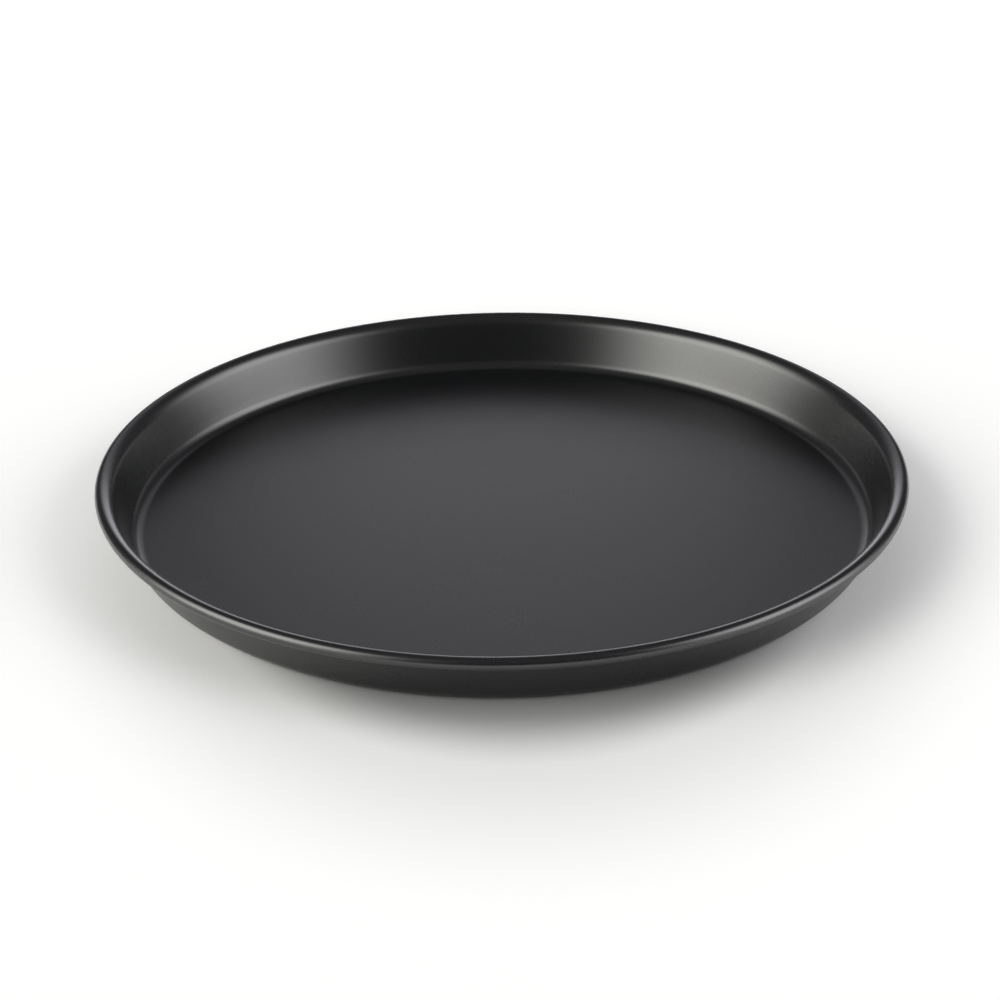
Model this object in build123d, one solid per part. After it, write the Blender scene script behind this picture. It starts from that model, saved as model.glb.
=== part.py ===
from build123d import *
import math
import os

# Round pizza pan. One sheet of steel is pressed into a shallow dish with a flat floor and a
# flared wall. Its edge is then rolled outward and down round a steel wire, which stiffens the rim.
# Lengths are in millimetres and angles in degrees. +Z is up, and the origin is the centre of the
# base's underside. Slopes are measured from the horizontal.

# The pressed sheet
rim_diameter = 320.0  # over the rolled rim
pan_height = 23.6  # from the base's underside to the top of the rolled rim
sheet_thickness = 0.8
wall_slope = 71.0
corner_radius = 5.5  # inside the pan, where the floor turns up into the wall
flare_radius = 7.0  # inside the pan, where the wall leans out towards the rim
flare_end_slope = 22.0  # of the sheet where the flare runs into the rolled rim

# The wire, and how closely the sheet is rolled round it
wire_diameter = 2.8
wire_clearance = 0.2  # all round the wire
wire_end_gap = 1.0  # between the two cut ends of the ring
rolled_edge_gap = 0.15  # between the rolled edge and the underside of the flare

quarter_turn = 90
full_turn = 360

# The rolled rim's section is a circle, open only at the rolled edge
cavity_radius = wire_diameter / 2 + wire_clearance
bead_radius = cavity_radius + sheet_thickness
bead_centre = Vector(rim_diameter / 2 - bead_radius, pan_height - bead_radius)


def outward(angle):
    """Unit vector in the section's plane: X away from the pan's axis, Y up."""
    return Vector(math.cos(math.radians(angle)), math.sin(math.radians(angle)))


def flare_centre():
    """Centre of the flare's arcs, placed so that they run smoothly into the rolled rim."""
    return bead_centre + outward(flare_end_slope - quarter_turn) * (flare_radius - bead_radius)


def corner_centre():
    """Centre of the corner's arcs, where the straight wall meets the flat floor smoothly."""
    wall_top = flare_centre() + outward(wall_slope + quarter_turn) * flare_radius
    corner_to_wall = outward(wall_slope - quarter_turn) * corner_radius
    height = sheet_thickness + corner_radius
    wall_rise = wall_top.Y - (height + corner_to_wall.Y)
    wall_run = wall_rise / math.tan(math.radians(wall_slope))
    return Vector(wall_top.X - wall_run - corner_to_wall.X, height)


def rolled_edge_angle():
    """Angle at which the roll stops, just short of the underside of the flare."""
    centre_distance = flare_radius - bead_radius
    reach = flare_radius - sheet_thickness - rolled_edge_gap
    cosine = (bead_radius**2 + centre_distance**2 - reach**2) / (2 * bead_radius * centre_distance)
    return flare_end_slope - quarter_turn - math.degrees(math.acos(cosine))


def sheet_side(corner_bend, flare_bend, roll_radius):
    """One side of the sheet's section, from the pan's axis to the rolled edge."""
    corner, flare = corner_centre(), flare_centre()
    floor_end = corner + outward(-quarter_turn) * corner_bend
    wall_foot = corner + outward(wall_slope - quarter_turn) * corner_bend
    wall_top = flare + outward(wall_slope + quarter_turn) * flare_bend
    roll_start = flare_end_slope + quarter_turn
    return [
        Line((0, floor_end.Y), floor_end),
        CenterArc(corner, corner_bend, -quarter_turn, wall_slope),
        Line(wall_foot, wall_top),
        CenterArc(flare, flare_bend, wall_slope + quarter_turn, flare_end_slope - wall_slope),
        CenterArc(bead_centre, roll_radius, roll_start, rolled_edge_angle() - roll_start),
    ]


def pressed_pan():
    """The dish and its rolled rim, one sheet of even thickness turned about the pan's axis."""
    inside = sheet_side(corner_radius, flare_radius, bead_radius)
    outside = sheet_side(corner_radius + sheet_thickness, flare_radius - sheet_thickness, cavity_radius)
    on_axis = Line((0, 0), (0, sheet_thickness))
    edge_direction = outward(rolled_edge_angle())
    rolled_edge = Line(
        bead_centre + edge_direction * cavity_radius, bead_centre + edge_direction * bead_radius
    )
    section = make_face([*inside, *outside, on_axis, rolled_edge])
    return revolve(Plane.XZ * section, Axis.Z)


def rim_wire():
    """The stiffening ring, a round wire bent to a circle with its cut ends nearly touching."""
    gap_angle = math.degrees(wire_end_gap / bead_centre.X)
    section = Pos(bead_centre) * Circle(wire_diameter / 2)
    ring = revolve(Plane.XZ * section, Axis.Z, revolution_arc=full_turn - gap_angle)
    return Rot(0, 0, quarter_turn + gap_angle / 2) * ring


os.makedirs("parts", exist_ok=True)
export_step(pressed_pan(), "parts/pressed_pan.step")
export_step(rim_wire(), "parts/rim_wire.step")

print("flat floor diameter", round(2 * corner_centre().X, 2))
print("rolled rim thickness", round(2 * bead_radius, 2))
print("roll stops at", round(rolled_edge_angle(), 1), "degrees")
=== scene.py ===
# %% [markdown]
# # A round pizza pan of dark sheet steel
#
# The real pan is one disc of steel, pressed into a shallow dish. Its edge is rolled outward round
# a wire, and everything has a smooth, dark, satin finish. The imported model is the fixed frame that
# all the looks are built on. It is loaded first, and its box gives the rim's size and the height.

# %% Load the frame
import math

import bmesh
import bpy
from mathutils import Matrix, Vector


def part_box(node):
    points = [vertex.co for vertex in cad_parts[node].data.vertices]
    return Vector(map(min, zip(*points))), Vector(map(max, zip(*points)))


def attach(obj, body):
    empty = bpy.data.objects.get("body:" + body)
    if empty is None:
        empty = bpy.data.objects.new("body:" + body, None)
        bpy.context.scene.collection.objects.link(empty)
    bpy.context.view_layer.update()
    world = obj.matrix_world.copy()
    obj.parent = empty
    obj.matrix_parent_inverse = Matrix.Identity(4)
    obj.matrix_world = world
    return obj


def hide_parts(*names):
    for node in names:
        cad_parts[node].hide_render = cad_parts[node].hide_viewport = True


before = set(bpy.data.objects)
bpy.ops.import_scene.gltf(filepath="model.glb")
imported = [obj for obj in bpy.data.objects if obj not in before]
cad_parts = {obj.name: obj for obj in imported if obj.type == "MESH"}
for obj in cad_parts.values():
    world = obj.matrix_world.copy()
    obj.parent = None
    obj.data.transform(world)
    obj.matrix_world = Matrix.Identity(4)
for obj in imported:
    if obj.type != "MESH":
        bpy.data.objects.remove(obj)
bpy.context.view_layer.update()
MM = 0.001
print("nodes:", sorted(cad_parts))

# %% [markdown]
# ## The sizes of the section
#
# A part made by spinning needs only its section. These are the same sizes as in the drawing of
# the pan, in metres. The rim's diameter and the height come from the frame, so that the piece
# fills the space that the frame holds.

# %% Sizes of the sheet and the rim
pan_low, pan_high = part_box("pressed_pan")
RIM_RADIUS = round((pan_high.x - pan_low.x) / 2, 4)
PAN_HEIGHT = round(pan_high.z, 4)
SHEET = 0.8 * MM
WALL_SLOPE = math.radians(71)
CORNER_RADIUS = 5.5 * MM
FLARE_RADIUS = 7.0 * MM
FLARE_END_SLOPE = math.radians(22)
WIRE_RADIUS = 1.4 * MM
WIRE_CLEARANCE = 0.2 * MM
ROLLED_EDGE_GAP = 0.15 * MM
BEAD_RADIUS = WIRE_RADIUS + WIRE_CLEARANCE + SHEET
print("rim radius", RIM_RADIUS, "height", PAN_HEIGHT, "rolled rim radius", BEAD_RADIUS)

# %% [markdown]
# ## The camera
#
# The camera stands in front of the pan and looks down at about 26 degrees. It aims a little below
# the middle of the pan, which puts the pan where it belongs in the picture with no lens shift.
# A small roll lifts the right side of the rim, as a camera that isn't quite level does.

# %% Make the camera
CAMERA_DISTANCE = 0.862
CAMERA_ELEVATION = math.radians(25.86)
PAN_MIDDLE = Vector((0, 0, 0.010))
AIM_POINT = Vector((-0.00075, 0, 0.0044))
CAMERA_ROLL = math.radians(-0.78)
LENS_MM = 77.45
SENSOR_MM = 36.0

camera_data = bpy.data.cameras.new("camera")
camera_data.sensor_width = SENSOR_MM
camera_data.lens = LENS_MM
camera = bpy.data.objects.new("camera", camera_data)
bpy.context.scene.collection.objects.link(camera)
bpy.context.scene.camera = camera
towards_camera = Vector((0, -math.cos(CAMERA_ELEVATION), math.sin(CAMERA_ELEVATION)))
camera.location = PAN_MIDDLE + towards_camera * CAMERA_DISTANCE
aim = (AIM_POINT - camera.location).to_track_quat("-Z", "Y")
camera.rotation_mode = "QUATERNION"
camera.rotation_quaternion = aim @ Matrix.Rotation(CAMERA_ROLL, 3, "Z").to_quaternion()
print("camera at", [round(x, 3) for x in camera.location])

# %% [markdown]
# ## Shader maths as Python expressions
#
# A material is a graph of nodes. Writing each Math node by hand is slow to read, so one small
# class wraps a socket: an expression such as `1 - mask * 0.5` on wrapped sockets adds the Math
# nodes that it needs.

# %% A socket that can be added and multiplied
class Value:
    """A shader socket on which Python's arithmetic adds Math nodes."""

    def __init__(self, graph, socket):
        self.graph, self.socket = graph, socket

    def maths(self, operation, first, second):
        return self.graph.node("ShaderNodeMath", {"operation": operation}, {0: first, 1: second})

    def __add__(self, other):
        return self.maths("ADD", self, other)

    def __radd__(self, other):
        return self.maths("ADD", other, self)

    def __sub__(self, other):
        return self.maths("SUBTRACT", self, other)

    def __rsub__(self, other):
        return self.maths("SUBTRACT", other, self)

    def __mul__(self, other):
        return self.maths("MULTIPLY", self, other)

    def __rmul__(self, other):
        return self.maths("MULTIPLY", other, self)


# %% A graph that adds any node with one call
class Graph:
    """The node graph of a material or of the world."""

    def __init__(self, owner):
        owner.use_nodes = True
        self.tree = owner.node_tree
        self.tree.nodes.clear()

    def put(self, socket, value):
        """Links a wrapped socket to a socket, or sets a plain value on it."""
        if isinstance(value, Value):
            self.tree.links.new(value.socket, socket)
        else:
            socket.default_value = value

    def node(self, kind, settings=None, inputs=None, output=0):
        """Adds a node: its settings first, then its sockets. Gives one of its outputs."""
        made = self.tree.nodes.new(kind)
        for name, setting in (settings or {}).items():
            if name == "stops":
                self.set_stops(made.color_ramp, setting)
            else:
                setattr(made, name, setting)
        for name, value in (inputs or {}).items():
            self.put(made.inputs[name], value)
        return Value(self, made.outputs[output]) if made.outputs else made

    @staticmethod
    def set_stops(ramp, stops):
        """Sets a colour ramp's stops, given as (place, colour) pairs."""
        for place, colour in stops[1:-1]:
            ramp.elements.new(place).color = colour
        for element, (place, colour) in ((ramp.elements[0], stops[0]), (ramp.elements[-1], stops[-1])):
            element.position, element.color = place, colour


# %% A smooth step from 0 to 1
def ease(value, first, last):
    """Rises smoothly from 0 to 1 while the value goes from first to last."""
    return value.graph.node(
        "ShaderNodeMapRange",
        {"interpolation_type": "SMOOTHSTEP"},
        {"Value": value, "From Min": first, "From Max": last},
    )


# %% [markdown]
# ## The light
#
# A dark, shiny object shows mostly what stands around it, so the light is half of the finish. Two
# large soft boxes stand to the left and the right of the camera, and each shows in the far wall of
# the pan as one long highlight, on the side opposite to the lamp. They are painted on the world as
# two soft windows of directions, so they light the whole table evenly. The left one is brighter and
# a little warmer. The rest of the room is dark, which keeps the middle of the pan's back wall dark.

# %% Paint the soft boxes on the world
ROOM_LIGHT = (0.03, 0.03, 0.031, 1)
CEILING_LIGHT = (0.15, 0.15, 0.155, 1)
LEFT_BOX = {"sides": (-102, -43), "heights": (0, 48.5), "strength": 4.8}
RIGHT_BOX = {"sides": (55, 107), "heights": (-1, 46), "strength": 3.75}
SIDE_SOFTNESS, LOW_SOFTNESS, TOP_SOFTNESS = 17, 24, 7
LEFT_COLOUR = (1.0, 0.995, 0.95, 1)
RIGHT_COLOUR = (1.0, 1.0, 1.0, 1)


def soft_edge(angle, edge, softness):
    """Rises from 0 to 1 round the edge, where it is one half. All in degrees."""
    return ease(angle, math.radians(edge - softness), math.radians(edge + softness))


def soft_box(side, up, box, colour):
    """The light of one soft box, seen in a direction given by its side and its height angle."""
    (first, last), (low, top) = box["sides"], box["heights"]
    window = soft_edge(side, first, SIDE_SOFTNESS) - soft_edge(side, last, SIDE_SOFTNESS)
    window = window * (soft_edge(up, low, LOW_SOFTNESS) - soft_edge(up, top, TOP_SOFTNESS))
    return side.graph.node(
        "ShaderNodeBackground", inputs={"Color": colour, "Strength": window * box["strength"]}
    )


def paint_world():
    """The dark room and its two soft boxes. Sides count from the camera's direction, to the right."""
    world = bpy.data.worlds.new("studio")
    bpy.context.scene.world = world
    graph = Graph(world)
    direction = graph.node("ShaderNodeTexCoord", output="Generated")
    x = graph.node("ShaderNodeSeparateXYZ", inputs={"Vector": direction}, output="X")
    y = graph.node("ShaderNodeSeparateXYZ", inputs={"Vector": direction}, output="Y")
    z = graph.node("ShaderNodeSeparateXYZ", inputs={"Vector": direction}, output="Z")
    side = x.maths("ARCTAN2", x, 0 - y)
    up = z.maths("ARCSINE", z, 0.0)
    room_colour = graph.node(
        "ShaderNodeValToRGB", {"stops": [(0, ROOM_LIGHT), (1, CEILING_LIGHT)]}, {"Fac": z}
    )
    room = graph.node("ShaderNodeBackground", inputs={"Color": room_colour, "Strength": 1.0})
    left = soft_box(side, up, LEFT_BOX, LEFT_COLOUR)
    right = soft_box(side, up, RIGHT_BOX, RIGHT_COLOUR)
    both = graph.node("ShaderNodeAddShader", inputs={0: left, 1: right})
    light = graph.node("ShaderNodeAddShader", inputs={0: both, 1: room})
    graph.node("ShaderNodeOutputWorld", inputs={"Surface": light})
    print("world nodes:", len(graph.tree.nodes))


paint_world()
bpy.context.scene.view_settings.view_transform = "Standard"

# %% [markdown]
# ## The table and the screen
#
# The pan stands on a white table, a hair below its base, that keeps its soft shadow. The shiny
# outer wall mirrors the table next to it, and it is dark at its foot, so a darker oval of painted
# shade lies in the table's colour under and just in front of the pan. Further out it is filled up to
# white.
#
# A screen stands 2.4 m behind the pan, above the picture. The flat floor mirrors it at a low angle.
# It is brightest along its foot, as a lit backdrop is: the pan's far wall hides that part from the
# floor next to it, and so the floor is dark there and grows lighter towards its middle.

# %% A flat panel of the room
def stage_panel(name, width, depth, matrix, material):
    """A flat rectangle that belongs to the room and not to the pan."""
    shape = bmesh.new()
    bmesh.ops.create_grid(shape, x_segments=1, y_segments=1, size=0.5)
    bmesh.ops.scale(shape, vec=(width, depth, 1), verts=shape.verts)
    bmesh.ops.transform(shape, matrix=matrix, verts=shape.verts)
    mesh = bpy.data.meshes.new(name)
    shape.to_mesh(mesh)
    shape.free()
    panel = bpy.data.objects.new(name, mesh)
    bpy.context.scene.collection.objects.link(panel)
    mesh.materials.append(material)


# %% Material of the table
# TABLE_SHADE is painted shade: the table's own colour is this grey in an oval round the pan's foot.
TABLE_SHADE = (0.37, 0.37, 0.37, 1)
TABLE_COLOUR = (0.92, 0.92, 0.92, 1)
SHADE_MIDDLE = (0.006, -0.012, 0)
SHADE_SIZE = (0.110, 0.150, 1)
SHADE_START, SHADE_END = 0.95, 1.18
FILL_START, FILL_END = 1.05, 1.75
FILL_LIGHT = 0.28


def table_material():
    """Matt white, with painted shade close to the pan, and filled up to plain white further away."""
    material = bpy.data.materials.new("white_table")
    graph = Graph(material)
    place = graph.node("ShaderNodeTexCoord", output="Object")
    in_shade = graph.node(
        "ShaderNodeMapping",
        {"vector_type": "TEXTURE"},
        {"Vector": place, "Location": SHADE_MIDDLE, "Scale": SHADE_SIZE},
    )
    from_shade = graph.node("ShaderNodeVectorMath", {"operation": "LENGTH"}, {0: in_shade}, "Value")
    # The colour ramp paints the shade: grey inside the oval, white outside it.
    colour = graph.node(
        "ShaderNodeValToRGB",
        {"stops": [(0, TABLE_SHADE), (1, TABLE_COLOUR)]},
        {"Fac": ease(from_shade, SHADE_START, SHADE_END)},
    )
    matt = graph.node("ShaderNodeBsdfDiffuse", inputs={"Color": colour})
    camera_ray = graph.node("ShaderNodeLightPath", output="Is Camera Ray")
    glossy_ray = graph.node("ShaderNodeLightPath", output="Is Glossy Ray")
    clear_ray = graph.node("ShaderNodeLightPath", output="Is Transmission Ray")
    seen = camera_ray + glossy_ray + clear_ray
    fill = ease(from_shade, FILL_START, FILL_END) * FILL_LIGHT * seen
    glow = graph.node("ShaderNodeEmission", inputs={"Color": TABLE_COLOUR, "Strength": fill})
    surface = graph.node("ShaderNodeAddShader", inputs={0: matt, 1: glow})
    graph.node("ShaderNodeOutputMaterial", inputs={"Surface": surface})
    return material


# %% Light of the screen
SCREEN_COLOUR = (1.01, 0.99, 1.06, 1)
SCREEN_DIM = 0.10
LOW_LIGHT = {"sides": (0.2, 0.7), "top": (0.0, 1.2), "strength": 1.9}
HIGH_LIGHT = {"sides": (0.2, 1.1), "top": (1.9, 2.6), "strength": 0.30}


def light_patch(sideways, height, patch):
    """A patch of light that fades towards the sides and the top, each from one place to another."""
    within = 1 - ease(sideways, *patch["sides"])
    return within * (1 - ease(height, *patch["top"])) * patch["strength"]


def screen_material():
    """A screen with its own light: bright along its foot, dim at its top and its sides."""
    material = bpy.data.materials.new("lit_screen")
    graph = Graph(material)
    place = graph.node("ShaderNodeTexCoord", output="Object")
    x = graph.node("ShaderNodeSeparateXYZ", inputs={"Vector": place}, output="X")
    z = graph.node("ShaderNodeSeparateXYZ", inputs={"Vector": place}, output="Z")
    sideways = x.maths("ABSOLUTE", x, 0.0)
    low = light_patch(sideways, z, LOW_LIGHT)
    high = light_patch(sideways, z, HIGH_LIGHT)
    light = graph.node(
        "ShaderNodeEmission",
        inputs={"Color": SCREEN_COLOUR, "Strength": SCREEN_DIM + low + high},
    )
    graph.node("ShaderNodeOutputMaterial", inputs={"Surface": light})
    return material


# %% Set the table and the screen
TABLE_SIZE = 16.0
TABLE_CLEARANCE = 0.05 * MM
SCREEN_DISTANCE = 2.4
SCREEN_WIDTH, SCREEN_HEIGHT = 4.8, 3.5

table_place = Matrix.Translation((0, 0, -TABLE_CLEARANCE))
stage_panel("table", TABLE_SIZE, TABLE_SIZE, table_place, table_material())
upright = Matrix.Rotation(math.radians(90), 4, "X")
screen_place = Matrix.Translation((0, SCREEN_DISTANCE, SCREEN_HEIGHT / 2)) @ upright
stage_panel("screen", SCREEN_WIDTH, SCREEN_HEIGHT, screen_place, screen_material())
print("table", TABLE_SIZE, "m square, screen", SCREEN_DISTANCE, "m behind the pan")

# %% [markdown]
# ## The dark satin finish
#
# The pan is nearly black, with a smooth, baked-on finish that gives soft reflections. A dielectric
# with a fairly high index and a medium roughness does that. Very faint noise in the roughness and
# a very low bump keep the sheen from looking like plastic.

# %% Finish of the pressed sheet
SATIN_COLOUR = (0.0032, 0.0036, 0.0042, 1)
SATIN_INDEX = 1.8
SATIN_ROUGHNESS = 0.28
CLOUDS = {"Scale": 28.0, "Detail": 3.0}
GRAIN = {"Scale": 2600.0, "Detail": 2.0}
CLOUD_EFFECT, GRAIN_EFFECT = 0.05, 0.04
NOISE_MIDDLE = 0.5
BUMP_STRENGTH = 0.05
BUMP_HEIGHT = 0.02 * MM


def satin_material():
    """Dark baked-on finish on pressed steel."""
    material = bpy.data.materials.new("dark_satin_steel")
    graph = Graph(material)
    place = graph.node("ShaderNodeTexCoord", output="Object")
    cloud = graph.node("ShaderNodeTexNoise", inputs={"Vector": place, **CLOUDS})
    grain = graph.node("ShaderNodeTexNoise", inputs={"Vector": place, **GRAIN})
    cloudy = (cloud - NOISE_MIDDLE) * CLOUD_EFFECT
    grainy = (grain - NOISE_MIDDLE) * GRAIN_EFFECT
    roughness = SATIN_ROUGHNESS + cloudy + grainy
    bump = graph.node(
        "ShaderNodeBump",
        inputs={"Strength": BUMP_STRENGTH, "Distance": BUMP_HEIGHT, "Height": grain},
    )
    surface = graph.node(
        "ShaderNodeBsdfPrincipled",
        inputs={
            "Base Color": SATIN_COLOUR,
            "IOR": SATIN_INDEX,
            "Roughness": roughness,
            "Normal": bump,
        },
    )
    graph.node("ShaderNodeOutputMaterial", inputs={"Surface": surface})
    return material


satin = satin_material()

# %% [markdown]
# ## The pressed sheet
#
# The sheet's upper side is drawn as a line of points from the middle of the floor to the rolled
# edge: straight runs and bends, each bend a spin of the last point about the bend's centre.
# Spinning that line about the pan's axis makes the whole side, and a Solidify modifier gives the
# sheet its thickness towards the underside, which keeps it even all the way round the bends.

# %% Where the section's bends have their centres
def outward(angle):
    """Unit vector in the section's plane, at an angle above the outward horizontal."""
    return Vector((math.cos(angle), 0, math.sin(angle)))


RIGHT_ANGLE = math.radians(90)
bead_centre = Vector((RIM_RADIUS - BEAD_RADIUS, 0, PAN_HEIGHT - BEAD_RADIUS))
flare_reach = FLARE_RADIUS - BEAD_RADIUS
flare_centre = bead_centre + outward(FLARE_END_SLOPE - RIGHT_ANGLE) * flare_reach
wall_top = flare_centre + outward(WALL_SLOPE + RIGHT_ANGLE) * FLARE_RADIUS
to_wall = outward(WALL_SLOPE - RIGHT_ANGLE) * CORNER_RADIUS
corner_height = SHEET + CORNER_RADIUS
wall_run = (wall_top.z - corner_height - to_wall.z) / math.tan(WALL_SLOPE)
corner_centre = Vector((wall_top.x - wall_run - to_wall.x, 0, corner_height))
under_flare = FLARE_RADIUS - SHEET - ROLLED_EDGE_GAP
edge_cosine = (BEAD_RADIUS**2 + flare_reach**2 - under_flare**2) / (2 * BEAD_RADIUS * flare_reach)
roll_angle = 2 * RIGHT_ANGLE + math.acos(edge_cosine)
print("floor radius", round(corner_centre.x / MM, 2), "roll", round(math.degrees(roll_angle), 1))


# %% Draw straight runs and bends
SECTION_NORMAL = (0, 1, 0)


def run_to(shape, tip, end, runs):
    """Draws straight edges from a point to a place, and gives the new last point."""
    step = (end - tip.co) / runs
    for _ in range(runs):
        grown = bmesh.ops.extrude_vert_indiv(shape, verts=[tip])
        tip = grown["verts"][0]
        bmesh.ops.translate(shape, vec=step, verts=[tip])
    return tip


def bend_round(shape, tip, centre, angle, steps):
    """Draws an arc from a point about a centre, and gives the new last point."""
    turned = bmesh.ops.spin(
        shape, geom=[tip], cent=centre, axis=SECTION_NORMAL, angle=angle, steps=steps, use_merge=False
    )
    return next(item for item in turned["geom_last"] if isinstance(item, bmesh.types.BMVert))


# %% Draw the section and spin it
FLOOR_RUNS = 8
CORNER_STEPS = 14
WALL_RUNS = 4
FLARE_STEPS = 10
ROLL_STEPS = 44
TURN_STEPS = 288
FULL_TURN = math.radians(360)
MERGE_DISTANCE = 0.001 * MM


def sheet_surface():
    """The upper side of the sheet, from the middle of the floor to the rolled edge."""
    shape = bmesh.new()
    tip = shape.verts.new((0, 0, SHEET))
    tip = run_to(shape, tip, Vector((corner_centre.x, 0, SHEET)), FLOOR_RUNS)
    tip = bend_round(shape, tip, corner_centre, -WALL_SLOPE, CORNER_STEPS)
    tip = run_to(shape, tip, wall_top, WALL_RUNS)
    tip = bend_round(shape, tip, flare_centre, WALL_SLOPE - FLARE_END_SLOPE, FLARE_STEPS)
    tip = bend_round(shape, tip, bead_centre, roll_angle, ROLL_STEPS)
    print("section points", len(shape.verts), "rolled edge at", [round(x / MM, 2) for x in tip.co])
    bmesh.ops.spin(
        shape, geom=shape.verts[:] + shape.edges[:], cent=(0, 0, 0), axis=(0, 0, 1),
        angle=FULL_TURN, steps=TURN_STEPS, use_merge=True,
    )
    bmesh.ops.remove_doubles(shape, verts=shape.verts, dist=MERGE_DISTANCE)
    bmesh.ops.recalc_face_normals(shape, faces=shape.faces)
    middle = min(shape.faces, key=lambda face: face.calc_center_median().length)
    if middle.normal.z < 0:
        bmesh.ops.reverse_faces(shape, faces=shape.faces)
    for face in shape.faces:
        face.smooth = True
    return shape


# %% Give the sheet its thickness and finish
def make_pan():
    """The pressed sheet with its thickness and finish."""
    shape = sheet_surface()
    mesh = bpy.data.meshes.new("pan_sheet")
    shape.to_mesh(mesh)
    shape.free()
    pan = bpy.data.objects.new("pan_sheet", mesh)
    bpy.context.scene.collection.objects.link(pan)
    mesh.materials.append(satin)
    thickness = pan.modifiers.new("sheet_thickness", "SOLIDIFY")
    thickness.thickness = SHEET
    thickness.offset = -1
    thickness.use_even_offset = True
    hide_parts("pressed_pan")
    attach(pan, "root")
    print("faces before thickness", len(mesh.polygons))


make_pan()

# %% [markdown]
# ## The rim wire
#
# The wire lies inside the rolled rim and shows only where the roll leaves a hair of a gap, so its
# shape comes from the frame as it is. It gets the grey of plain drawn steel, with fine scratches.

# %% Finish of the wire
WIRE_COLOUR = (0.45, 0.45, 0.46, 1)
WIRE_MARKS = {"Scale": 900.0, "Detail": 4.0}
WIRE_ROUGHNESS, MARK_EFFECT = 0.3, 0.15


def wire_material():
    """Plain drawn steel with fine, uneven draw marks."""
    material = bpy.data.materials.new("drawn_steel_wire")
    graph = Graph(material)
    place = graph.node("ShaderNodeTexCoord", output="Object")
    marks = graph.node("ShaderNodeTexNoise", inputs={"Vector": place, **WIRE_MARKS})
    roughness = WIRE_ROUGHNESS + marks * MARK_EFFECT
    surface = graph.node(
        "ShaderNodeBsdfPrincipled",
        inputs={"Base Color": WIRE_COLOUR, "Metallic": 1.0, "Roughness": roughness},
    )
    graph.node("ShaderNodeOutputMaterial", inputs={"Surface": surface})
    return material


rim_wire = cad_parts["rim_wire"]
rim_wire.data.materials.clear()
rim_wire.data.materials.append(wire_material())
